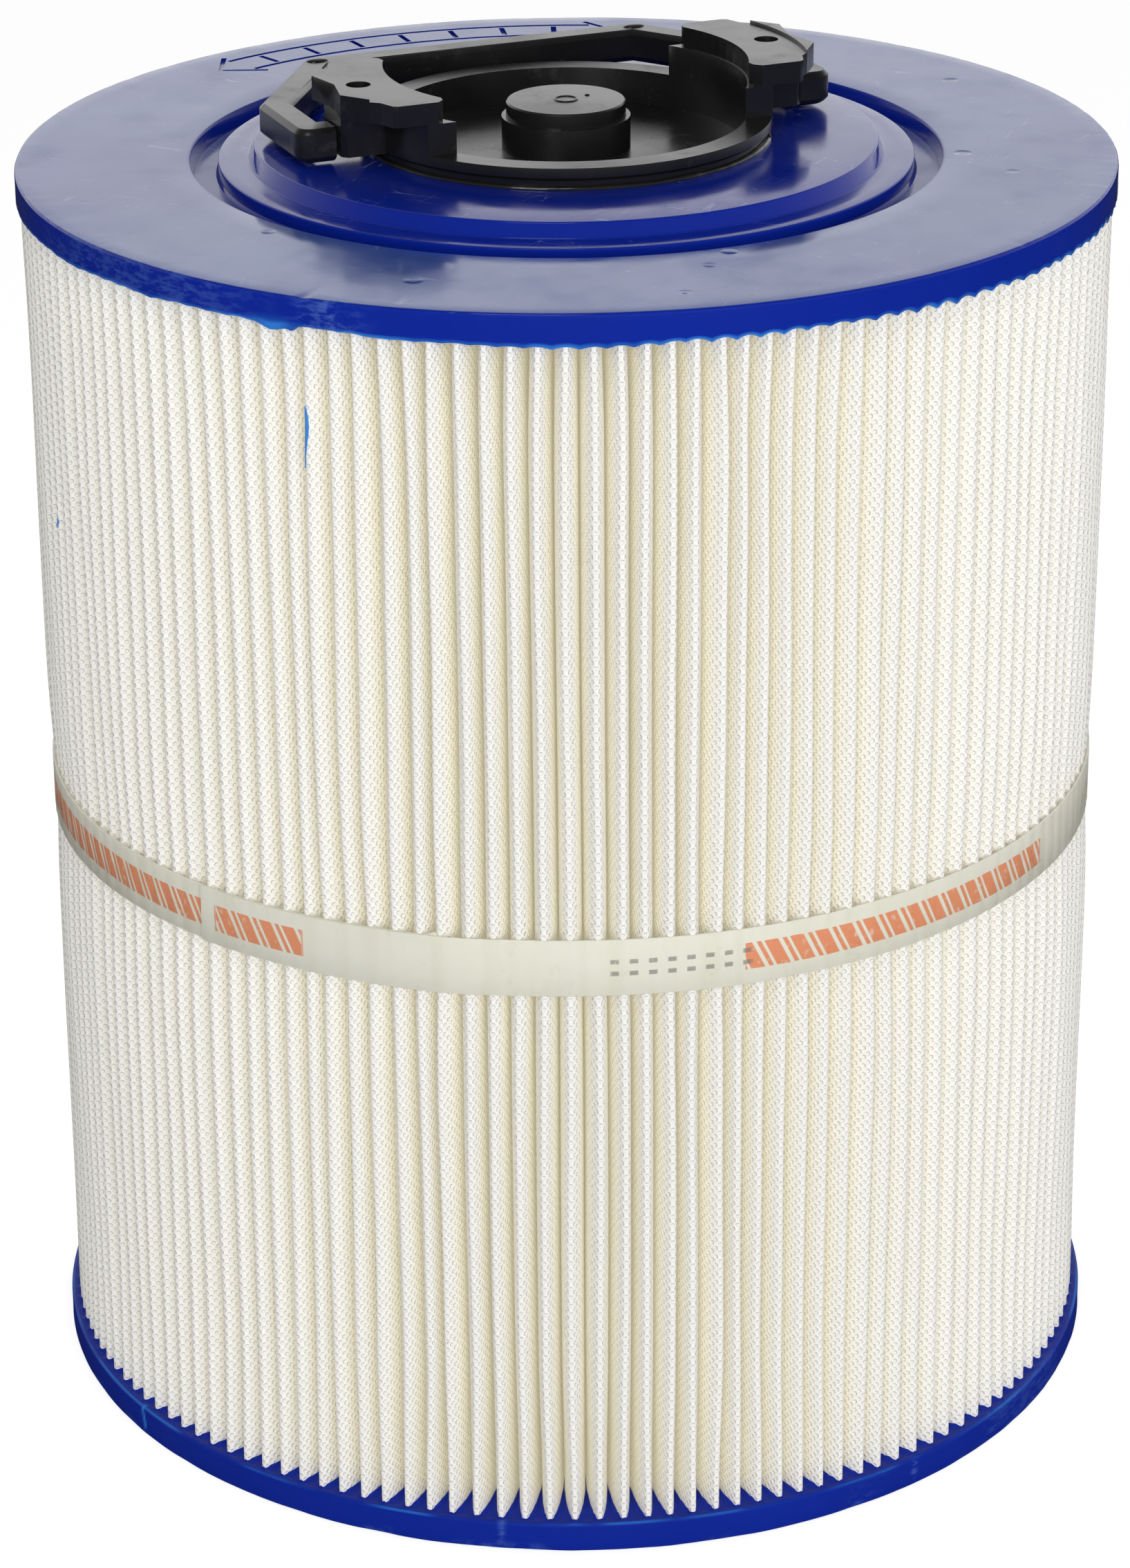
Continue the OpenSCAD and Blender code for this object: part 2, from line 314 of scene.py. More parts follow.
def media_material():
    """Point-bonded nonwoven sheet: a staggered lattice of small dimples, with painted cream shade down in
    the valleys.
    """
    n = Nodes("media_white")
    across = n.attribute("sheet_mm")
    x, y, z = n.split(n.object)
    up = n.math("DIVIDE", z, MM)
    radius = n.math("DIVIDE", n.axis_distance(x, y), MM)
    wobble = n.noise(n.object, 180, 2)
    across_w = n.plus(across, n.times(n.minus(wobble, 0.5), 0.3))
    wave_s = n.math("COSINE", n.times(across_w, 2 * math.pi / DIMPLE_PITCH[0]))
    wave_z = n.math("COSINE", n.times(up, 2 * math.pi / DIMPLE_PITCH[1]))
    lattice = n.times(wave_s, wave_z)
    dimple = n.step(lattice, -0.10, 0.85)
    fibres = n.noise(n.join(across, n.times(up, 0.45)), 2.2, 3, 0.65)
    uneven = n.noise(n.object, 900, 3, 0.6)
    height = n.plus(n.times(dimple, -0.75),
                    n.plus(n.times(fibres, 0.18), n.times(uneven, 0.12)))
    normal = n.bump(height, 0.32)
    depth = n.step(radius, TIP_R - VALLEY_DEPTH[0], TIP_R - VALLEY_DEPTH[1])
    tone = n.noise(n.object, 26, 3)
    white = n.mix(tone, *SHEET_WHITE)
    # painted shade: the sheet turns cream deeper in the valleys and stays white at the tips
    colour = n.mix(depth, VALLEY_PAINTED_SHADE, white)
    # painted shade: the sheet is a little darker down in the dimples
    colour = n.mix(n.times(dimple, 0.10), colour, (0.80, 0.77, 0.66))
    speck = n.step(n.cells(n.object, 95), 0.035, 0.015)
    sparse = n.step(n.noise(n.object, 60, 0), 0.66, 0.70)
    colour = n.mix(n.times(n.times(speck, sparse), 0.55), colour, (0.30, 0.26, 0.18))
    # the emission is a painted glow, standing in for light that comes through the sheet
    n.surface(Base_Color=colour, Roughness=0.78, Normal=normal, Specular_IOR_Level=0.25,
              Emission_Color=SHEET_PAINTED_GLOW, Emission_Strength=SHEET_GLOW_LEVEL)
    return n.material


RESIN_BLUE = ((0.004, 0.020, 0.31), (0.006, 0.028, 0.38))
RESIN_PALE = (0.035, 0.26, 0.84)   # where the resin is thin enough to let light through, and the painted highlight along the bottom cap's rim edge
BETWEEN_CAPS = (0.1, 0.2)          # metres: the bottom cap is all below, and the top cap all above
FACE_FROM = (0.066, 0.076)         # metres: the wide flat face lies outside this radius
# Metres from the axis: where the groove's duller finish fades in, and where it fades out.
GROOVE_EDGES = ((0.0675, 0.0685), (0.0745, 0.0735))


def hair_scratches(n, x, y):
    """Fine scratches in two directions, as thin iso-lines of stretched noises."""
    lines = None
    for turn, seed in ((0.7, 3.1), (2.3, 9.7)):
        c, s = math.cos(turn), math.sin(turn)
        u = n.plus(n.times(x, c), n.times(y, s))
        v = n.minus(n.times(y, c * 0.12), n.times(x, s * 0.12))
        field = n.noise(n.join(u, v, seed), 240, 1)
        line = n.step(n.math("ABSOLUTE", n.minus(field, 0.5)), 0.005, 0.0)
        lines = line if lines is None else n.math("MAXIMUM", lines, line)
    return lines


def face_dirt(n, colour, x, y, level, face, patches):
    """The resin's colour with scratches, bloom mixed with painted sheen, pale dust and dark grit on the
    upward faces.
    """
    flat = n.join(x, y)
    gate = n.times(n.step(n.noise(n.object, 95, 1), 0.52, 0.62), level)
    colour = n.mix(n.times(n.times(hair_scratches(n, x, y), gate), 0.42), colour, (0.35, 0.42, 0.75))
    # partly a real hazy bloom, partly a painted sheen that lightens the wide face towards the reflected
    # backdrop
    bloom_and_sheen = n.step(n.noise(n.object, 22, 4, 0.6), 0.30, 0.75, 0.12, 0.28)
    colour = n.mix(n.times(bloom_and_sheen, face), colour, (0.22, 0.42, 0.62))
    dust = n.times(n.step(n.cells(flat, 420), 0.10, 0.03), n.step(n.noise(flat, 38, 1), 0.50, 0.66))
    colour = n.mix(n.times(n.times(dust, level), 0.4), colour, (0.30, 0.38, 0.70))
    grit = n.times(n.step(n.cells(flat, 115), 0.075, 0.035), n.step(patches, 0.44, 0.52))
    return n.mix(n.times(n.times(grit, level), 0.8), colour, (0.010, 0.014, 0.03))


def cap_gloss(n, z, radius, level, worn):
    """Roughness and specular level: satin on the top faces, duller on the bottom cap and in the groove."""
    haze = n.noise(n.object, 70, 4, 0.6)
    satin = n.times(level, n.step(haze, 0.35, 0.80, 0.05, 0.13))
    rough = n.plus(satin, n.step(haze, 0.35, 0.80, 0.08, 0.14))
    rough = n.plus(rough, n.step(z, *BETWEEN_CAPS, 0.28, 0.0))
    rough = n.plus(rough, n.times(worn, 0.22))
    groove = n.times(n.step(radius, *GROOVE_EDGES[0]), n.step(radius, *GROOVE_EDGES[1]))
    gloss = n.times(n.step(level, 0.0, 1.0, 0.28, 0.55), n.step(groove, 0.0, 1.0, 1.0, 0.4))
    return rough, n.times(gloss, n.step(z, *BETWEEN_CAPS, 0.35, 1.0))


def cap_material():
    """Glossy cast resin, hazy on the top face with a painted sheen, with smears, a lighter film where it is
    thin and a painted highlight on the bottom rim's edge.
    """
    n = Nodes("cap_blue")
    pale_blue = n.attribute("pale_blue")
    scuff = n.attribute("scuff")
    x, y, z = n.split(n.object)
    radius = n.axis_distance(x, y)
    level = n.times(n.step(n.split(n.geometry_normal())[2], 0.90, 0.99), n.step(z, *BETWEEN_CAPS))
    face = n.times(level, n.step(radius, *FACE_FROM))
    patches = n.noise(n.join(x, y), 31, 1)

    colour = n.mix(n.noise(n.object, 30, 3), *RESIN_BLUE)
    # paler blue where the resin is thin, and a painted highlight along the bottom cap's rim edge
    colour = n.mix(n.times(pale_blue, 0.9), colour, RESIN_PALE)
    smear_lines = n.noise(n.join(x, y, n.times(z, 3.0)), 260, 4, 0.7)
    smear = n.times(scuff, n.step(smear_lines, 0.42, 0.62))
    colour = n.mix(n.times(smear, 0.55), colour, (0.10, 0.20, 0.62))
    colour = face_dirt(n, colour, x, y, level, face, patches)

    dents = n.times(n.step(n.cells(n.join(x, y), 62), 0.13, 0.04), n.step(patches, 0.54, 0.50))
    height = n.plus(n.times(n.noise(n.object, 55, 2), 0.9), n.times(smear, 0.25))
    height = n.minus(height, n.times(n.times(dents, face), 3.2))
    rough, gloss = cap_gloss(n, z, radius, level, n.math("MAXIMUM", smear, pale_blue))
    n.surface(Base_Color=colour, Roughness=rough, Normal=n.bump(height, 0.12, 0.5),
              Specular_IOR_Level=gloss)
    return n.material


def hub_material():
    """Satin black moulded plastic: fine grain, flow marks and faint rubbed patches."""
    n = Nodes("hub_black")
    flow = n.noise(n.object, 60, 4, 0.6)
    grain = n.noise(n.object, 1600, 2, 0.6)
    rub = n.step(n.noise(n.object, 140, 5, 0.7), 0.56, 0.74)
    colour = n.mix(flow, (0.006, 0.006, 0.0065), (0.011, 0.011, 0.012))
    colour = n.mix(n.times(rub, 0.35), colour, (0.045, 0.045, 0.047))
    dust = n.step(n.cells(n.object, 520), 0.09, 0.02)
    dusty = n.step(n.noise(n.object, 90, 1), 0.60, 0.70)
    colour = n.mix(n.times(n.times(dust, dusty), 0.4), colour, (0.35, 0.35, 0.35))
    height = n.plus(n.times(flow, 0.8), n.times(grain, 0.25))
    normal = n.bump(height, 0.05, 0.7)
    rough = n.step(n.plus(flow, n.times(rub, 0.3)), 0.3, 0.9, 0.20, 0.36)
    n.surface(Base_Color=colour, Roughness=rough, Normal=normal, Specular_IOR_Level=0.5)
    return n.material


def shine_material():
    """Black plastic that melted and set glossy."""
    n = Nodes("hub_gloss")
    tone = n.noise(n.object, 180, 3)
    colour = n.mix(tone, (0.006, 0.006, 0.006), (0.016, 0.015, 0.015))
    n.surface(Base_Color=colour, Roughness=n.step(tone, 0.3, 0.7, 0.12, 0.24),
              Normal=n.bump(tone, 0.15, 0.6))
    return n.material


BAR_PITCH, BAR_HALF_H, BAR_SLANT = 5.2, 2.8, 0.5
BAR_WIDE, BAR_THIN = (0.0, 3.05), (3.7, 4.8)   # each repeat has a wide bar and a thin one
DASH_PITCH = 3.6
DASH_ROWS = ((-1.7, -0.6), (0.7, 1.8))
BAR_ORANGE, DASH_GREY = (0.90, 0.25, 0.08), (0.22, 0.22, 0.20)


def stripe(n, value, start, end, soft=0.2):
    """1 between start and end, with soft edges."""
    return n.times(n.step(value, start, start + soft), n.step(value, end, end - soft))


def orange_bars(n, up):
    """Slanted bars in groups round the band."""
    into = n.attribute("print_mm")          # distance into a printed group, or below 0 outside it
    slant = n.plus(into, n.times(up, BAR_SLANT))
    cell = n.times(n.math("FRACT", n.math("DIVIDE", slant, BAR_PITCH)), BAR_PITCH)
    bars = n.math("MAXIMUM", stripe(n, cell, *BAR_WIDE, 0.25), stripe(n, cell, *BAR_THIN))
    return n.times(n.times(bars, stripe(n, up, -BAR_HALF_H, BAR_HALF_H)), n.step(into, -0.1, 0.1))


def grey_dashes(n, up):
    """Two rows of small dashes."""
    into = n.attribute("code_mm")
    dash = stripe(n, n.math("FRACT", n.math("DIVIDE", into, DASH_PITCH)), 0.10, 0.62, 0.08)
    rows = n.math("MAXIMUM", *(stripe(n, up, *row) for row in DASH_ROWS))
    return n.times(n.times(dash, rows), n.step(into, -0.1, 0.1))


def band_material():
    """Translucent cream strip with worn printing and painted shadows of the pleats behind it."""
    n = Nodes("band_cream")
    up = n.minus(n.math("DIVIDE", n.split(n.object)[2], MM), BAND_MID)
    mottle = n.noise(n.object, 120, 4, 0.65)
    # painted shadow: darker streaks along the band stand in for the pleats' shade seen through it
    pleat_shadow = n.noise(n.join(n.times(n.attribute("along_mm"), 0.22), 0.0), 1.0, 1)
    colour = n.mix(mottle, (0.86, 0.84, 0.70), (0.93, 0.915, 0.80))
    colour = n.mix(n.times(n.step(pleat_shadow, 0.45, 0.65), 0.22), colour, (0.76, 0.74, 0.58))
    blotch = n.step(n.noise(n.object, 700, 3), 0.26, 0.42, 0.55, 1.0)
    colour = n.mix(n.times(n.times(orange_bars(n, up), blotch), 0.85), colour, BAR_ORANGE)
    colour = n.mix(n.times(n.times(grey_dashes(n, up), blotch), 0.7), colour, DASH_GREY)
    n.surface(Base_Color=colour, Roughness=n.step(mottle, 0.3, 0.7, 0.26, 0.40),
              Normal=n.bump(mottle, 0.10, 0.5), Specular_IOR_Level=0.45,
              Subsurface_Weight=0.25, Subsurface_Scale=0.001, Subsurface_Radius=(1.0, 0.9, 0.6))
    return n.material


def streak_material():
    """Thin bright resin that has run onto the sheet."""
    n = Nodes("resin_thin")
    tone = n.noise(n.object, 700, 3)
    colour = n.mix(tone, (0.04, 0.24, 0.72), (0.08, 0.34, 0.86))
    n.surface(Base_Color=colour, Roughness=0.25, Normal=n.bump(tone, 0.05, 0.5))
    return n.material


def core_material():
    """White moulded core plastic with a little grain."""
    n = Nodes("core_white")
    tone = n.noise(n.object, 60, 3)
    grain = n.noise(n.object, 1400, 2)
    colour = n.mix(tone, (0.78, 0.78, 0.76), (0.86, 0.86, 0.85))
    n.surface(Base_Color=colour, Roughness=n.step(tone, 0.3, 0.7, 0.36, 0.50),
              Normal=n.bump(grain, 0.04, 0.6))
    return n.material


def bead_material():
    """Amber-tinted adhesive with ripples."""
    n = Nodes("bead_clear")
    ripple = n.noise(n.object, 240, 3)
    colour = n.mix(ripple, (0.72, 0.60, 0.34), (0.85, 0.76, 0.52))
    n.surface(Base_Color=colour, Roughness=0.22, Normal=n.bump(ripple, 0.2, 0.6))
    return n.material


MEDIA, CAP, HUB, SHINE = media_material(), cap_material(), hub_material(), shine_material()
BAND, STREAK, CORE, BEAD = band_material(), streak_material(), core_material(), bead_material()


# ------------------------ pleated sheet

PLEATS = 144
SHEET_T = 0.6
SKIN = 0.004                       # keeps touching pleats just apart
TOUCH_R = 88.0                     # neighbouring pleats touch inside this radius
ROOT_R = 53.3                      # outer side of the inner folds
NOSE_R = (0.66, 0.80)              # outer fold radius at the caps and at mid height
NOSE_TURNS = (-76, -38, 0, 38, 76)
# Share of half the local pitch that a pleat fills at three radii, at the caps and at mid height
WALL_R = (104.4, 101.0, 96.0)
WALL_FILL = ((0.48, 0.72, 0.94), (0.56, 0.86, 1.0))
OUTER_ROWS, INNER_ROWS = 41, 6

pitch = 360 / PLEATS * (1 + rng.uniform(-0.06, 0.08, PLEATS))
pitch *= 360 / pitch.sum()
pleat_az = np.cumsum(pitch)
valley_az = pleat_az - pitch / 2                            # valley before each pleat
pleat_id = np.arange(PLEATS)
tip_random = rng.uniform(0, 1, PLEATS)
lean_random = rng.uniform(-1, 1, PLEATS)
lean_phase = rng.uniform(-0.35, 0.35, PLEATS)


def pleat_state(z):
    """Tip radius, sideways lean of the tip and nose radius of every pleat at height z, and how far the
    pleats are from the stiff potted ends, 0 to 1."""
    free = smoothstep(z, PACK_Z0 + 4, PACK_Z0 + 38) * smoothstep(z, PACK_Z1 + 4, PACK_Z1 - 26)
    held = bump_at(z, BAND_MID, 15)
    wave = 0.22 * np.sin(z / 28 + pleat_id * 0.55 + lean_phase)
    wave = wave + 0.06 * np.sin(z / 9.5 + pleat_id * 1.9) + 0.50 * lean_random
    lean = wave * free * (1 - 0.45 * held)
    tip = TIP_R - 0.35 * tip_random * free - 0.72 * held - 0.10 * (1 + np.sin(z / 17 + pleat_id)) * free
    nose = NOSE_R[0] + (NOSE_R[1] - NOSE_R[0]) * free
    return tip, lean, nose, free


def pleat_columns(z, inset):
    """Plan points of the sheet's side at height z, one row of columns per pleat, and each column's
    distance along the sheet from the nose. Inset is 0 for the outer side and SHEET_T for the inner."""
    tip, lean, nose, free = pleat_state(z)
    centre_r = tip - nose
    fill = [(1 - free) * a + free * b for a, b in zip(*WALL_FILL)]
    radii = [TOUCH_R, *reversed(WALL_R)]
    shares = [1.0, *reversed(fill)]

    def middle(r):
        """Azimuth of each pleat's middle at radius r, where its lean has reached this far down."""
        reach = np.clip((r - TOUCH_R) / (TIP_R - TOUCH_R), 0, 1) ** 1.5
        return pleat_az + np.degrees(lean * reach / r)

    def wall(r, share, side):
        """A wall point: the pleat fills this share of the way to its boundary with its neighbour."""
        mid = middle(r)
        half = np.radians(wrap(np.roll(mid, -side) - mid)) / 2
        return polar(np.full(PLEATS, r), mid + np.degrees(share * half - side * (inset + SKIN) / r))

    nose_az = middle(TIP_R)
    points = [polar(np.full(PLEATS, ROOT_R - inset), valley_az)]
    points += [wall(r, share, -1) for r, share in zip(radii, shares)]
    for turn in NOSE_TURNS:
        a = math.radians(turn)
        r = centre_r + (nose - inset) * math.cos(a)
        points.append(polar(r, nose_az + np.degrees((nose - inset) * math.sin(a) / r)))
    points += [wall(r, share, 1) for r, share in zip(reversed(radii), reversed(shares))]
    points = np.stack(points, 1)                            # pleat, column, xy
    nose_column = 1 + len(radii) + len(NOSE_TURNS) // 2
    spans = np.linalg.norm(np.diff(points, axis=1), axis=2)
    along = np.concatenate([np.zeros((PLEATS, 1)), np.cumsum(spans, 1)], 1)
    along = along - along[:, nose_column:nose_column + 1]
    return points.reshape(-1, 2), along.reshape(-1)


def row_heights(count):
    """Heights of the rows, closer together near the caps and the band."""
    z = np.linspace(PACK_Z0, PACK_Z1, 600)
    density = 1 + 3 * bump_at(z, PACK_Z0 + 6, 14) + 2 * bump_at(z, PACK_Z1 - 6, 12)
    density += 2 * bump_at(z, BAND_MID, 16)
    total = np.concatenate([[0], np.cumsum((density[1:] + density[:-1]) / 2)])
    return np.interp(np.linspace(0, total[-1], count), total, z)


def build_media():
    rows = [(z, 0.0) for z in row_heights(OUTER_ROWS)]
    rows += [(z, SHEET_T) for z in np.linspace(PACK_Z1, PACK_Z0, INNER_ROWS)]
    verts, lengths = [], []
    for z, inset in rows:
        plan, along = pleat_columns(z, inset)
        verts.append(np.column_stack([plan, np.full(len(plan), z)]))
        lengths.append(along)
    columns = len(lengths[0])
    piece = mesh_piece("pleated_media", np.concatenate(verts), torus_grid(len(rows), columns),
                       MEDIA)
    store(piece, "sheet_mm", np.concatenate(lengths))
    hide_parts("pleat_pack")


build_media()


# ------------------------ end caps

CAP_STEPS = PLEATS * 9             # vertices round a cap
cap_az = np.arange(CAP_STEPS) * 360 / CAP_STEPS
nearest = np.abs(wrap(cap_az[:, None] - pleat_az[None, :])).argmin(1)
nose_offset = wrap(cap_az - pleat_az[nearest])              # degrees from the nearest nose


def arc_points(centre, radius, start, end, count):
    a = np.radians(np.linspace(start, end, count))
    return [(centre[0] + radius * math.cos(t), centre[1] + radius * math.sin(t)) for t in a]


def cast_cap(name, node, profile, shape):
    """Turns a closed profile of (radius, height) points round the axis, in place of a CAD node.
    shape(radius, height) returns the radius and height of that profile point all round, how much
    paler blue it is, from thin resin and from a painted highlight, and how worn the resin is, 0 to 1."""
    verts, pale_blue, scuff = [], [], []
    for r, z in profile:
        radius, height, paler, worn = shape(r, z)
        verts.append(np.column_stack([polar(np.broadcast_to(radius, CAP_STEPS), cap_az),
                                      np.broadcast_to(height, CAP_STEPS)]))
        pale_blue.append(np.broadcast_to(paler, CAP_STEPS))
        scuff.append(np.broadcast_to(worn, CAP_STEPS))
    quads = torus_grid(len(profile), CAP_STEPS)
    piece = mesh_piece(name, np.concatenate(verts), quads, CAP, smooth_angle=40)
    store(piece, "pale_blue", np.concatenate(pale_blue))
    store(piece, "scuff", np.concatenate(scuff))
    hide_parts(node)
    return piece


# How far the top cap's resin hangs below its nominal edge: it runs down into each valley and stops
# short on each nose, more in some places than others.
scallop_size = np.clip(1.0 + 0.9 * ring_noise(cap_az, 19, 1), 0.2, 1.7)
scallop_size *= 0.15 + 0.85 * smoothstep(np.abs(wrap(cap_az + 150)), 25, 62)
scallop = (1 - np.abs(np.cos(np.radians(nose_offset * PLEATS / 2))) ** 0.8) * scallop_size
hang = scallop + 0.55 * ring_noise(cap_az, 48, 2) + 0.30 * ring_noise(cap_az, 9, 3) - 0.45
flap = bump_at(wrap(cap_az + 141.7), 0, 2.0)                # a thick smear at the front left
hang = hang + 1.5 * flap + 0.6 * bump_at(wrap(cap_az + 139.6), 0, 0.5)
edge_film = 0.45 + 0.45 * smoothstep(ring_noise(cap_az, 60, 6), -0.2, 0.5)
top_scuff = 0.55 * smoothstep(wrap(cap_az + 160), -16, -8) * smoothstep(wrap(cap_az + 160), 22, 6)
top_scuff = np.maximum(top_scuff, 0.9 * bump_at(wrap(cap_az + 136), 0, 3.0))
top_scuff = np.maximum(top_scuff, 0.30 * smoothstep(ring_noise(cap_az, 26, 5), 0.35, 0.7))


def between(a, b, share):
    """The point this share of the way from a to b."""
    return (a[0] + (b[0] - a[0]) * share, a[1] + (b[1] - a[1]) * share)


def top_cap_profile():
    """Anticlockwise from the underside at the core out to the rim and back over the top."""
    rim = arc_points((TOP_R - 0.6, TOP_Z1 - 0.6), 0.6, 0, 90, 5)
    groove_out = arc_points((GROOVE_R1 + 0.35, TOP_Z1 - 0.35), 0.35, 90, 155, 4)
    floor_z = TOP_Z1 - GROOVE_DEPTH
    groove_floor = [(GROOVE_R1 - GROOVE_BEVEL, floor_z), (GROOVE_R0 + 0.5, floor_z)]
    groove_out.append(between(groove_out[-1], groove_floor[0], 0.1))
    groove_in = [(GROOVE_R0, floor_z + 0.5), (GROOVE_R0, TOP_Z1 - 0.6)]
    groove_in += arc_points((GROOVE_R0 - 0.3, TOP_Z1 - 0.3), 0.3, 0, 90, 4)
    foot = arc_points((PLATEAU_R + 0.4, TOP_Z1 + 0.4), 0.4, 270, 200, 4)
    shoulder = arc_points((PLATEAU_TOP_R - 0.5, PLATEAU_Z - 0.5), 0.5, 15, 90, 5)
    foot.append(between(foot[-1], shoulder[0], 0.08))
    shoulder = [between(foot[-1], shoulder[0], 0.92)] + shoulder
    flat = [(r, TOP_Z1) for r in (103.5, 98, 92, 86, 80)]
    under = [(r, TOP_Z0) for r in (CORE_R, TOUCH_R, TIP_R - 3, TIP_R - 0.6, TOP_R - 0.15)]
    skirt = [(TOP_R, TOP_Z0 + up) for up in (0.2, 0.5, 0.9, 1.5, 2.6, 4.2)]
    land = [((GROOVE_R0 + PLATEAU_R) / 2, TOP_Z1)]
    plateau = [(50, PLATEAU_Z), (HUB_R, PLATEAU_Z), (HUB_R, HUB_FLANGE_Z), (CORE_R, HUB_FLANGE_Z)]
    return (under + skirt + rim + flat + groove_out + groove_floor + groove_in + land
            + foot + shoulder + plateau)


def build_top_cap():
    rough_edge = 0.10 * ring_noise(cap_az, 170, 8) + 0.05 * ring_noise(cap_az, 60, 9)
    nick = bump_at(wrap(cap_az + 138.5), 0, 0.55)

    def shape(r, z):
        radius, height, paler, worn = np.full(CAP_STEPS, r), np.full(CAP_STEPS, z), 0.0, 0.0
        outside = r > TIP_R - 1
        if outside and z < TOP_Z0 + 1.8:
            # the skirt: its lower edge follows the pleats and thins out to a lighter film
            up = z - TOP_Z0
            height = z - hang * (1 - up / 2.6)
            radius = r - 0.25 * smoothstep(hang, 0.5, 1.6) * (1 - up / 1.8)
            paler = np.maximum((1 - smoothstep(up, 0.25, 0.85)) * edge_film,
                              flap * (1 - smoothstep(up, 0.8, 1.8)))
            worn = top_scuff
        elif outside and z < TOP_Z1 - 0.7:
            radius = r - 0.10 * nick - 0.03 * (1 + ring_noise(cap_az, 90, 11))
            worn = top_scuff
        elif outside:
            radius = r + np.minimum(rough_edge, 0) - 0.25 * nick
            height = z + np.minimum(rough_edge, 0) * 0.6 - 0.30 * nick
            worn = top_scuff
        elif z == TOP_Z1 and r > GROOVE_R1 + 1:
            # the cast face is not quite flat
            height = z - 0.05 * (1 + ring_noise(cap_az, 7, int(r)))
        return radius, height, paler, worn

    return cast_cap("top_cap_casting", "top_end_cap", top_cap_profile(), shape)


top_cap = build_top_cap()

PALE_SCRATCH_AZ = -167.3
SCUFF_AZ = (-120.3, -74.0, 60.0, 128.0)


def build_bottom_cap():
    """The bottom casting, with a meniscus of resin round each pleat and a narrow ledge outside them."""
    # half-width of a pleat at each radius, as a share of half the pitch: the resin climbs its walls
    wall_at = {TIP_R: 0.0, TIP_R - 1.2: 0.45, TIP_R - 3.2: 0.62, TIP_R - 6: 0.80, TIP_R - 9.5: 0.93}
    ledge = arc_points((BOTTOM_R - 0.7, CAP_T - 0.7), 0.7, 0, 90, 5)
    profile = ([(OUTLET_R, 0), (BOTTOM_R - 0.6, 0)]
               + arc_points((BOTTOM_R - 0.5, 0.5), 0.5, 290, 360, 3)
               + [(BOTTOM_R, 2.2), (BOTTOM_R, 3.8)] + ledge
               + [(TIP_R + 0.35, CAP_T)] + [(r, CAP_T) for r in wall_at]
               + [(TIP_R - 14, CAP_T), (TOUCH_R, CAP_T), (CORE_R, CAP_T),
                  (CORE_R, OUTLET_FLANGE_Z), (OUTLET_R, OUTLET_FLANGE_Z)])
    edge_wave = ring_noise(cap_az, 70, 31)
    scuffs = sum(0.9 * bump_at(wrap(cap_az - a), 0, 0.35) for a in SCUFF_AZ)

    def shape(r, z):
        radius, height, paler, worn = np.full(CAP_STEPS, r), np.full(CAP_STEPS, z), 0.0, 0.0
        if r > BOTTOM_R - 1.0 and z < 1.0:
            height = z + 0.10 * (1 + edge_wave) * (z < 0.5)
            radius = r - 0.12 * np.clip(edge_wave, 0, 1)
            worn = 0.5 * smoothstep(edge_wave, 0.1, 0.6)
        elif r > TIP_R + 0.5:
            # painted highlight: a paler blue line along the top edge of the rim
            corner = r > BOTTOM_R - 0.45 and z > CAP_T - 0.4
            paler = 0.55 * corner * smoothstep(ring_noise(cap_az, 44, 37), -0.5, 0.4)
            slanted = wrap(cap_az - PALE_SCRATCH_AZ - 0.12 * (CAP_T - z))
            paler = np.maximum(paler, 1.1 * bump_at(slanted, 0, 0.22))
            radius = r - 0.05 * (1 + ring_noise(cap_az, 40, 33))
            height = z - 0.07 * (1 + ring_noise(cap_az, 24, 34)) * (z > CAP_T - 0.8)
            worn = np.maximum(scuffs, 0.35 * smoothstep(ring_noise(cap_az, 31, 35), 0.2, 0.7))
        elif r in wall_at:
            half_pitch = 180 / PLEATS
            away = np.clip(np.abs(nose_offset) / half_pitch - wall_at[r], 0, 1)
            height = z + 0.55 * np.exp(-away * 7) - 0.25
        elif r > CORE_R and z == CAP_T:
            height = z - 0.15
        return radius, height, paler, worn

    cast_cap("bottom_cap_casting", "bottom_end_cap", profile, shape)


build_bottom_cap()


# ------------------------ turn marks on the top cap

MARK_R, MARK_HALF_H = 96.0, 4.2
MARK_ENDS = (61.0, 116.0)          # azimuths of the two arrow tips
MARK_HEAD = (4.0, 6.5)             # degrees that a head reaches back, and half its height
TICK_STEP, TICK_HALF_H = 6.5, 2.4
MARK_DEPTH, MARK_W = 0.7, 1.4
MARK_TAPER = 0.7                   # width of a stroke's bottom, as a share of its top


def mark_strokes():
    """The lines of a curved double arrow with ticks, as plan points."""
    first, last = MARK_ENDS
    back, spread = MARK_HEAD
    strokes = [[polar(r, a) for a in np.linspace(first + back, last - back, 60)]
               for r in (MARK_R - MARK_HALF_H, MARK_R + MARK_HALF_H)]
    for a in np.arange(first + 8, last - 7, TICK_STEP):
        strokes.append([polar(MARK_R - TICK_HALF_H, a), polar(MARK_R + TICK_HALF_H, a)])
    for tip, turn in ((first, back), (last, -back)):
        strokes.append([polar(MARK_R - spread, tip + turn), polar(MARK_R, tip),
                        polar(MARK_R + spread, tip + turn)])
    return strokes


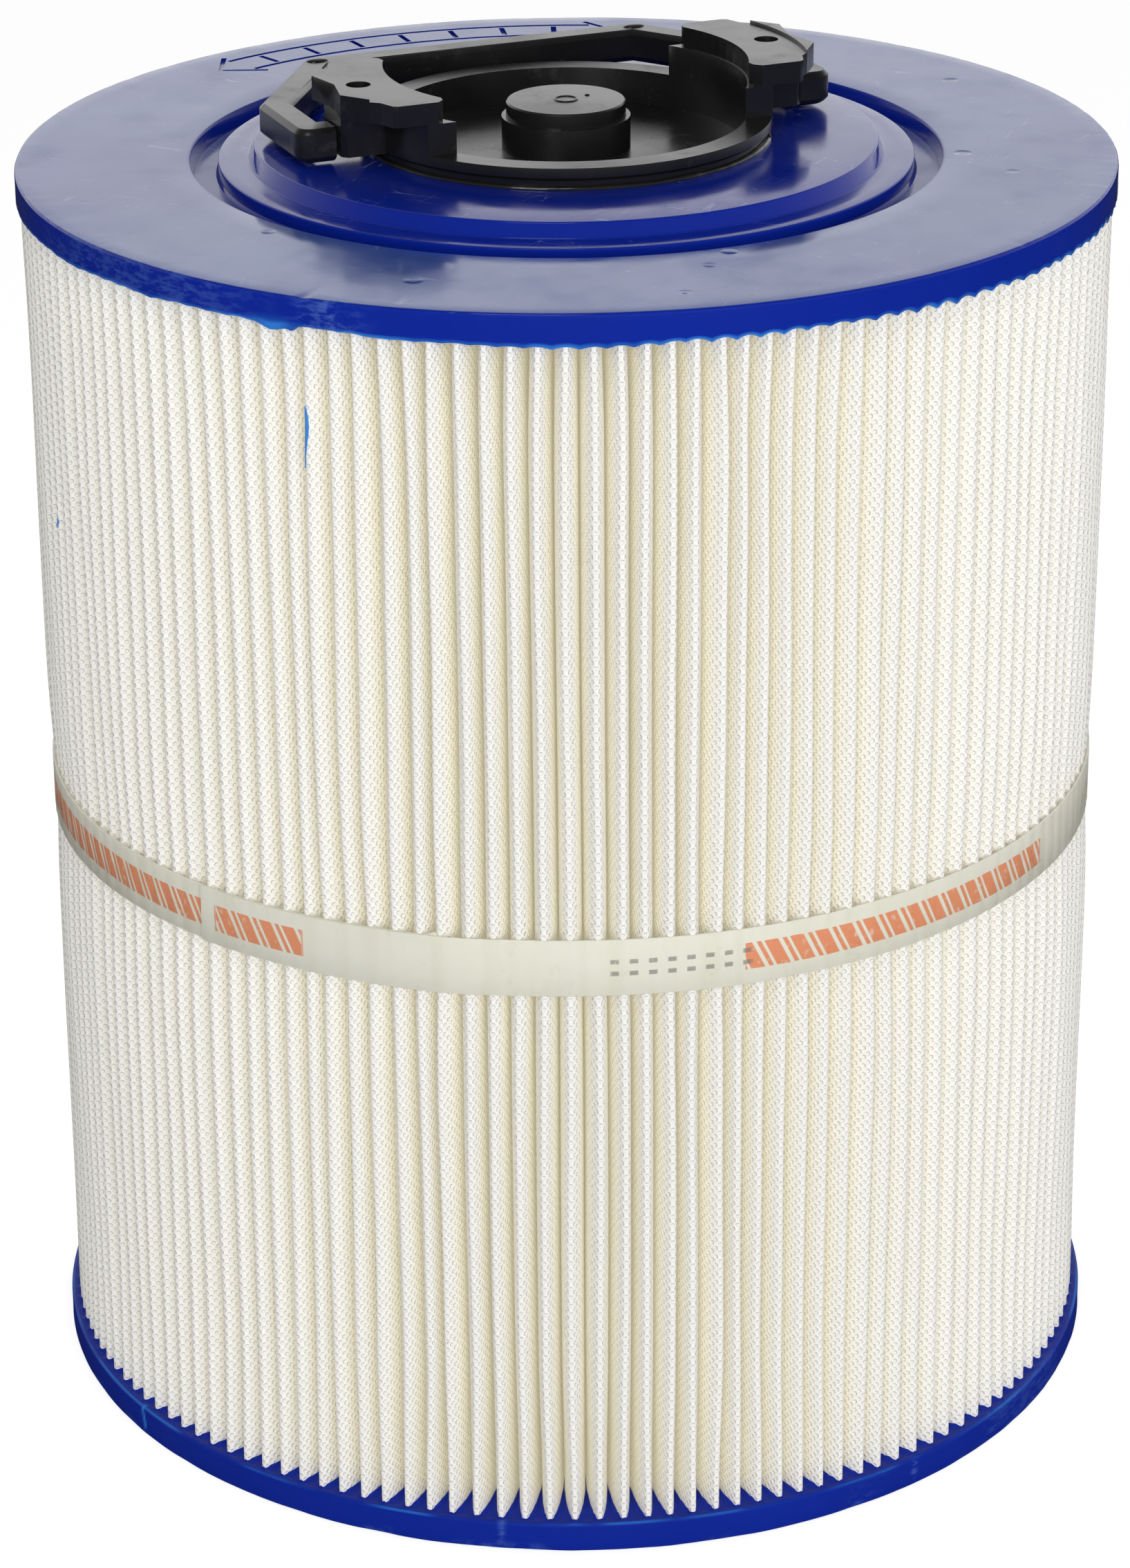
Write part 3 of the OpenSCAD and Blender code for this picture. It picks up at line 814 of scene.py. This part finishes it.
def stroke_bar(stroke, base):
    """Vertices and faces of a bar along one stroke, from above the face down to the mark's depth."""
    p = np.array(stroke)
    d = np.gradient(p, axis=0)
    d /= np.linalg.norm(d, axis=1)[:, None]
    side = np.column_stack([-d[:, 1], d[:, 0]]) * MARK_W / 2
    p[0] -= d[0] * MARK_W / 2
    p[-1] += d[-1] * MARK_W / 2
    high, low = TOP_Z1 + 1, TOP_Z1 - MARK_DEPTH
    verts = [(*(q + s * share), z) for q, s in zip(p, side)
             for share, z in ((1, high), (-1, high), (-MARK_TAPER, low), (MARK_TAPER, low))]
    last = base + 4 * (len(p) - 1)
    faces = []
    for k in range(base, last, 4):
        for j in range(4):
            a, b = k + j, k + (j + 1) % 4
            faces.append([a, a + 4, b + 4, b])
    faces.append([base + j for j in range(4)])
    faces.append([last + j for j in (3, 2, 1, 0)])
    return verts, faces


def cut_marks(cap):
    """Recesses the marks in the cap's face, where instructions are usually moulded."""
    verts, faces = [], []
    for stroke in mark_strokes():
        more_verts, more_faces = stroke_bar(stroke, len(verts))
        verts += more_verts
        faces += more_faces
    mesh = bpy.data.meshes.new("mark_cutter")
    mesh.from_pydata([tuple(np.array(v) * MM) for v in verts], [], faces)
    mesh.validate()
    face_outward(mesh)
    cutter = bpy.data.objects.new("mark_cutter", mesh)
    bpy.context.scene.collection.objects.link(cutter)
    boolean = cap.modifiers.new("marks", "BOOLEAN")
    boolean.operation, boolean.object, boolean.solver = "DIFFERENCE", cutter, "EXACT"
    boolean.use_self = True
    bpy.context.view_layer.update()
    evaluated = cap.evaluated_get(bpy.context.evaluated_depsgraph_get())
    result = bpy.data.meshes.new_from_object(evaluated)
    cap.modifiers.clear()
    cap.data = result
    bpy.data.objects.remove(cutter)


cut_marks(top_cap)


# ------------------------ retaining band

SEAM_AZ, TUCK_AZ = -154.0, -126.2  # the strip's outer end and the inner end that it covers
PRINT_PERIOD, PRINT_LEN = 65.25, 41.9
PRINT_START = -95.0                # azimuth where one printed group starts
CODE_START, CODE_LEN = -109.0, 15.0

BAND_STEPS = 1500
BAND_CHAMFER, BAND_SAG, BAND_WAVE = 0.12, 0.10, 0.14
CUT_PRINT = (2.0, 13.1)            # degrees from the outer end: a printed group that the end cuts off
# The strip's section: which face, how far in from the edge, and which edge
BAND_SECTION = ((-1, 0, -1), (1, 0, -1), (1, BAND_CHAMFER, -1), (1, BAND_CHAMFER, 1),
                (1, 0, 1), (-1, 0, 1), (-1, BAND_CHAMFER, 1), (-1, BAND_CHAMFER, -1))


def band_print(azimuth, turn):
    """Distance into the orange print and into the grey code, in millimetres, or -1 outside them."""
    group = (azimuth - PRINT_START) % PRINT_PERIOD
    printed = (group < PRINT_LEN) & (azimuth > PRINT_START - 1)
    orange = np.where(printed, np.radians(group) * BAND_R, -1.0)
    cut_off = (turn > CUT_PRINT[0]) & (turn < CUT_PRINT[1])
    orange = np.where(turn < 30, np.where(cut_off, np.radians(turn) * BAND_R, -1.0), orange)
    coded = np.abs(azimuth - CODE_START - CODE_LEN / 2) < CODE_LEN / 2
    return orange, np.where(coded, np.radians(azimuth - CODE_START) * BAND_R, -1.0)


def build_band():
    """One strip wound once round the pleats, its ends overlapping at the seam."""
    overlap = TUCK_AZ - SEAM_AZ
    turn = np.linspace(0, 360 + overlap, BAND_STEPS)
    azimuth = SEAM_AZ + turn
    lift = 1 - smoothstep(turn, overlap + 0.5, overlap + 7)
    gap = BAND_R + 0.02 + (BAND_T - 0.02) * lift
    # the strip bridges from nose to nose and sags a little between them
    offset = wrap(azimuth[:, None] - pleat_az[None, :])
    offset = np.abs(offset).min(1) / (180 / PLEATS)
    sag = BAND_SAG * np.clip(offset, 0, 1) ** 2 * (1 - 0.5 * lift)
    edge_low = BAND_Z0 + BAND_WAVE * ring_noise(azimuth, 26, 41)
    # the inner end's corner sticks out above the seam
    edge_high = BAND_Z1 + BAND_WAVE * ring_noise(azimuth, 23, 42)
    edge_high = edge_high + 0.75 * smoothstep(turn, turn[-1] - 1.3, turn[-1])
    half_t = (BAND_T - 0.04) / 2
    mid = gap + half_t - sag
    verts = []
    for radial, inset, vertical in BAND_SECTION:
        edge = edge_low if vertical < 0 else edge_high
        edge = np.clip(edge - vertical * inset, BAND_Z0 - 0.5, BAND_Z1 + 0.5)
        radius = mid + radial * (half_t if inset else half_t - BAND_CHAMFER)
        verts.append(np.column_stack([polar(radius, azimuth), edge]))
    k = len(BAND_SECTION)
    verts = np.stack(verts, 1).reshape(-1, 3)               # step, section point
    faces = []
    for i in range(BAND_STEPS - 1):
        for j in range(k):
            a, c = i * k + j, i * k + (j + 1) % k
            faces.append([a, a + k, c + k, c])
    faces.append(list(range(k)))
    faces.append([(BAND_STEPS - 1) * k + j for j in reversed(range(k))])
    piece = mesh_piece("band_strip", verts, faces, BAND, smooth_angle=60)
    orange, code = band_print(azimuth, turn)
    store(piece, "along_mm", np.repeat(np.radians(turn) * BAND_R, k))
    store(piece, "print_mm", np.repeat(orange, k))
    store(piece, "code_mm", np.repeat(code, k))
    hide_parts("retaining_band")


build_band()


# ------------------------ resin streaks on the sheet

STREAK_T = 0.16


def build_streak(name, azimuth, z_top, z_bottom, width, side):
    """A thin run of resin on the flank of one pleat's nose; side is the turn about the nose where
    it lies."""
    i = int(np.abs(wrap(pleat_az - azimuth)).argmin())
    rows, columns = 22, 7
    t = np.linspace(0, 1, rows)
    heights = z_top + (z_bottom - z_top) * t
    profile = width * np.clip(np.sin(np.pi * t ** 0.65), 0.06, 1) ** 0.7
    centre_turn = side + 22 * np.sin(t * 5.0) - 10 * t
    outer, inner = [], []
    for z, w, middle in zip(heights, profile, centre_turn):
        tip, lean, nose, _ = pleat_state(z)
        tip, lean = tip[i], lean[i]
        for u in np.linspace(-1, 1, columns):
            a = math.radians(middle + math.degrees(u * w / 2 / nose))
            skin = STREAK_T * math.sqrt(max(0.0, 1 - u * u)) + 0.02
            for layer, reach in ((outer, nose + skin), (inner, nose - 0.15)):
                r = tip - nose + reach * math.cos(a)
                sideways = reach * math.sin(a) + lean
                layer.append((*polar(r, pleat_az[i] + math.degrees(sideways / r)), z))
    half = rows * columns
    faces = []
    for r in range(rows - 1):
        for c in range(columns - 1):
            a = r * columns + c
            faces.append([a, a + columns, a + columns + 1, a + 1])
            faces.append([half + a, half + a + 1, half + a + columns + 1, half + a + columns])
    rim = (list(range(columns)) + [r * columns + columns - 1 for r in range(1, rows)]
           + [(rows - 1) * columns + c for c in reversed(range(columns - 1))]
           + [r * columns for r in reversed(range(1, rows - 1))])
    for a, b in zip(rim, rim[1:] + rim[:1]):
        faces.append([a, b, half + b, half + a])
    mesh_piece(name, outer + inner, faces, STREAK, smooth_angle=60)


build_streak("resin_run_front", -138.3, 231.5, 219.6, 0.85, -28)
build_streak("resin_run_side", 178.0, 190.3, 188.2, 0.5, 10)


# ------------------------ hub, handle and inside parts

def dress(node, material, bevel=0.0):
    """A CAD node gets its finish, and its sharp edges are eased by so many millimetres."""
    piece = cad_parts[node]
    piece.data.materials.clear()
    piece.data.materials.append(material)
    if bevel:
        weld = piece.modifiers.new("weld", "WELD")
        weld.merge_threshold = 0.00001
        ease = piece.modifiers.new("ease", "BEVEL")
        ease.width = bevel * MM
        ease.segments = 3
        ease.limit_method = "ANGLE"
        ease.angle_limit = math.radians(35)


for node, edge in (("bayonet_hub", 0.45), ("centre_plug", 0.4), ("bail_handle", 1.0), ("outlet_ring", 0.4)):
    dress(node, HUB, edge)
for node in ("core_upper", "core_lower"):
    dress(node, CORE)
dress("pleat_seam_bead", BEAD)

GATE_R, GATE_WIRE = 2.2, 0.28
PIP_AT = (5.0, 1.2)
PIP_RINGS = ((0.5, -0.2), (0.5, 0.12), (0.3, 0.25))        # radius, height above the plug
FOOT_WIRE = 0.6
PAD_AT, PAD_SIZE = (34.6, 46.7), (2.4, 1.6, 0.55)          # on the grip: place, half-axes and height


def circle(count):
    """Angles round a circle, in radians."""
    return np.radians(np.arange(count) * 360 / count)


def ring_stack(rows, columns):
    """Faces of closed rings stacked from the bottom up, with both ends capped."""
    faces = [[k * columns + j, k * columns + (j + 1) % columns,
              (k + 1) * columns + (j + 1) % columns, (k + 1) * columns + j]
             for k in range(rows - 1) for j in range(columns)]
    return faces + [list(reversed(range(columns))), [(rows - 1) * columns + j for j in range(columns)]]


def build_gate_mark():
    """The small ring and pip that the moulding gate left on the plug's face."""
    rows, columns = 28, 8
    verts = []
    for turn in np.arange(rows) * 360 / rows:
        centre = polar(GATE_R, turn)
        for a in circle(columns):
            spot = centre * (1 + GATE_WIRE * math.cos(a) / GATE_R)
            verts.append((*spot, PLUG_TOP - 0.05 + GATE_WIRE * math.sin(a)))
    mesh_piece("gate_ring", verts, torus_grid(rows, columns), HUB)
    pip = [(PIP_AT[0] + r * math.cos(a), PIP_AT[1] + r * math.sin(a), PLUG_TOP + up)
           for r, up in PIP_RINGS for a in circle(12)]
    mesh_piece("gate_pip", pip, ring_stack(len(PIP_RINGS), 12), HUB, smooth_angle=50)


def build_foot_bead():
    """The uneven glossy edge of the hub's foot, where it stands in the cap."""
    rows, columns = 8, 720
    azimuth = np.arange(columns) * 360 / columns
    wire = FOOT_WIRE * (1 + 0.35 * ring_noise(azimuth, 46, 51))
    radius = HUB_R + 0.35 + 0.18 * ring_noise(azimuth, 31, 52)
    verts = []
    for a in circle(rows):
        plan = polar(radius + wire * math.cos(a), azimuth)
        verts.append(np.column_stack([plan, PLATEAU_Z + 0.15 + wire * math.sin(a)]))
    mesh_piece("hub_foot_edge", np.concatenate(verts), torus_grid(rows, columns), SHINE)


def build_corner_pad(name, side):
    """The low oval pad on a corner of the handle's grip."""
    rows, columns = 5, 20
    verts = []
    for k in range(rows):
        lift = math.radians(90 * k / rows)
        for a in circle(columns):
            verts.append((side * PAD_AT[0] + PAD_SIZE[0] * math.cos(lift) * math.cos(a),
                          PAD_AT[1] + PAD_SIZE[1] * math.cos(lift) * math.sin(a),
                          GRIP_TOP - 0.05 + PAD_SIZE[2] * math.sin(lift)))
    mesh_piece(name, verts, ring_stack(rows, columns), SHINE, body="handle", smooth_angle=60)


build_foot_bead()
build_corner_pad("grip_pad_right", 1)
build_corner_pad("grip_pad_left", -1)
build_gate_mark()


# ------------------------ studio

FLOOR_HALF = 6.0                   # metres
FLOOR_GLOW = 0.75
WORLD_LEFT, WORLD_RIGHT, WORLD_BACK, WORLD_TOP = 0.22, 0.42, 1.65, 0.25
# Soft lights: degrees from the camera's azimuth, elevation, distance and size in metres, watts, and
# whether they show in glossy surfaces
LIGHTS = {
    "key": (25, 14, 1.9, (1.1, 1.1), 8.0, False),
    "front": (-1, 14, 2.2, (1.2, 1.2), 18.3, False),
    "overhead": (-12, 58, 1.6, (0.5, 0.3), 2.6, True),
    "hub_glint": (-22, 26, 1.5, (0.35, 0.35), 4.4, True),
}
HUB_PARTS = ("bayonet_hub", "centre_plug", "bail_handle", "hub_foot_edge")


def build_floor():
    corners = [(x * FLOOR_HALF, y * FLOOR_HALF, cad_lo.z) for x, y in ((-1, -1), (1, -1), (1, 1), (-1, 1))]
    mesh = bpy.data.meshes.new("floor")
    mesh.from_pydata(corners, [], [(0, 1, 2, 3)])
    floor = bpy.data.objects.new("floor", mesh)
    bpy.context.scene.collection.objects.link(floor)
    n = Nodes("floor_white")
    path = n.tree.nodes.new("ShaderNodeLightPath").outputs
    # pale to the camera, mid grey as a source of light, and dark in the gloss of the upright faces
    soft = n.tree.nodes.new("ShaderNodeBsdfDiffuse")
    n.put(soft.inputs["Color"], n.mix(path["Is Glossy Ray"], (0.62, 0.62, 0.62), (0.06, 0.06, 0.06)))
    glow = n.tree.nodes.new("ShaderNodeEmission")
    n.put(glow.inputs["Strength"], n.times(path["Is Camera Ray"], FLOOR_GLOW))
    add = n.tree.nodes.new("ShaderNodeAddShader")
    n.tree.links.new(soft.outputs[0], add.inputs[0])
    n.tree.links.new(glow.outputs[0], add.inputs[1])
    n.tree.links.new(add.outputs[0], n.out.inputs["Surface"])
    mesh.materials.append(n.material)


class WorldNodes(Nodes):
    """The same calls for a world."""

    def __init__(self, world):
        self.start(world)


def build_world():
    """A pale backdrop behind the cartridge, dimmer overhead and on the camera's side."""
    world = bpy.data.worlds.new("studio")
    bpy.context.scene.world = world
    n = WorldNodes(world)
    tree = n.tree
    out = tree.nodes.new("ShaderNodeOutputWorld")
    background = tree.nodes.new("ShaderNodeBackground")
    tree.links.new(background.outputs[0], out.inputs["Surface"])
    seen = tree.nodes.new("ShaderNodeLightPath").outputs["Is Camera Ray"]
    x, y, z = n.split(tree.nodes.new("ShaderNodeTexCoord").outputs["Generated"])
    a = math.radians(CAMERA_AZ)
    behind = n.plus(n.times(x, -math.cos(a)), n.times(y, -math.sin(a)))
    beside = n.plus(n.times(x, -math.sin(a)), n.times(y, math.cos(a)))
    front = n.step(beside, -0.8, 0.8, WORLD_LEFT, WORLD_RIGHT)
    around = n.step(behind, -0.4, 0.9, front, WORLD_BACK)
    level = n.step(z, 0.30, 0.75, 1.0, WORLD_TOP)
    light = n.times(around, level)
    strength = tree.nodes.new("ShaderNodeMix")
    n.put(strength.inputs["Factor"], seen)
    n.put(strength.inputs["A"], light)
    strength.inputs["B"].default_value = 1.0
    tree.links.new(strength.outputs[0], background.inputs["Strength"])


def area_light(name, offset, elevation, distance, size, watts, glossy):
    """A soft light that faces the cartridge, offset so many degrees from the camera's azimuth."""
    light = bpy.data.lights.new(name, "AREA")
    light.shape, light.size, light.size_y, light.energy = "RECTANGLE", size[0], size[1], watts
    lamp = bpy.data.objects.new(name, light)
    bpy.context.scene.collection.objects.link(lamp)
    a, e = math.radians(CAMERA_AZ + offset), math.radians(elevation)
    out = Vector((math.cos(a) * math.cos(e), math.sin(a) * math.cos(e), math.sin(e)))
    centre = (cad_lo + cad_hi) / 2
    lamp.location = centre + out * distance
    lamp.rotation_mode = "QUATERNION"
    lamp.rotation_quaternion = out.to_track_quat("Z", "Y")
    lamp.visible_glossy = glossy
    return lamp


def link_glint(lamp):
    """Lets the hub's own light fall on the black parts alone."""
    hub_parts = bpy.data.collections.new("hub_parts")
    for name in HUB_PARTS:
        hub_parts.objects.link(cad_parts.get(name) or bpy.data.objects[name])
    lamp.light_linking.receiver_collection = hub_parts


# The camera stands at this azimuth and looks down on the top cap.
CAMERA_AZ = -112.5
CAMERA_DISTANCE = 878.9            # from the cartridge axis, horizontally
CAMERA_HEIGHT = 241.3              # above the top cap's face
CAMERA_PITCH, CAMERA_ROLL, CAMERA_YAW = 23.185, -0.480, 0.084
CAMERA_LENS = 105.95


def build_camera():
    data = bpy.data.cameras.new("camera")
    data.lens, data.sensor_width = CAMERA_LENS, 36.0
    camera = bpy.data.objects.new("camera", data)
    bpy.context.scene.collection.objects.link(camera)
    pitch_a, roll, yaw = (math.radians(v) for v in (CAMERA_PITCH, CAMERA_ROLL, CAMERA_YAW))
    cy, sy, ct, st = math.cos(yaw), math.sin(yaw), math.cos(pitch_a), math.sin(pitch_a)
    side = Vector((cy, sy, 0))
    upward = Vector((-st * sy, st * cy, ct))
    right = side * math.cos(roll) + upward * math.sin(roll)
    up = upward * math.cos(roll) - side * math.sin(roll)
    forward = Vector((-ct * sy, ct * cy, -st))
    turn = Matrix.Rotation(math.radians(CAMERA_AZ + 90), 3, "Z")
    axes = Matrix((turn @ right, turn @ up, turn @ -forward)).transposed()
    place = turn @ Vector((0, -CAMERA_DISTANCE, TOP_Z1 + CAMERA_HEIGHT)) * MM
    camera.matrix_world = Matrix.Translation(place) @ axes.to_4x4()
    bpy.context.scene.camera = camera


build_floor()
build_world()
build_camera()
lamps = {name: area_light(name, *numbers) for name, numbers in LIGHTS.items()}
link_glint(lamps["hub_glint"])

bpy.context.scene.view_settings.view_transform = "Standard"
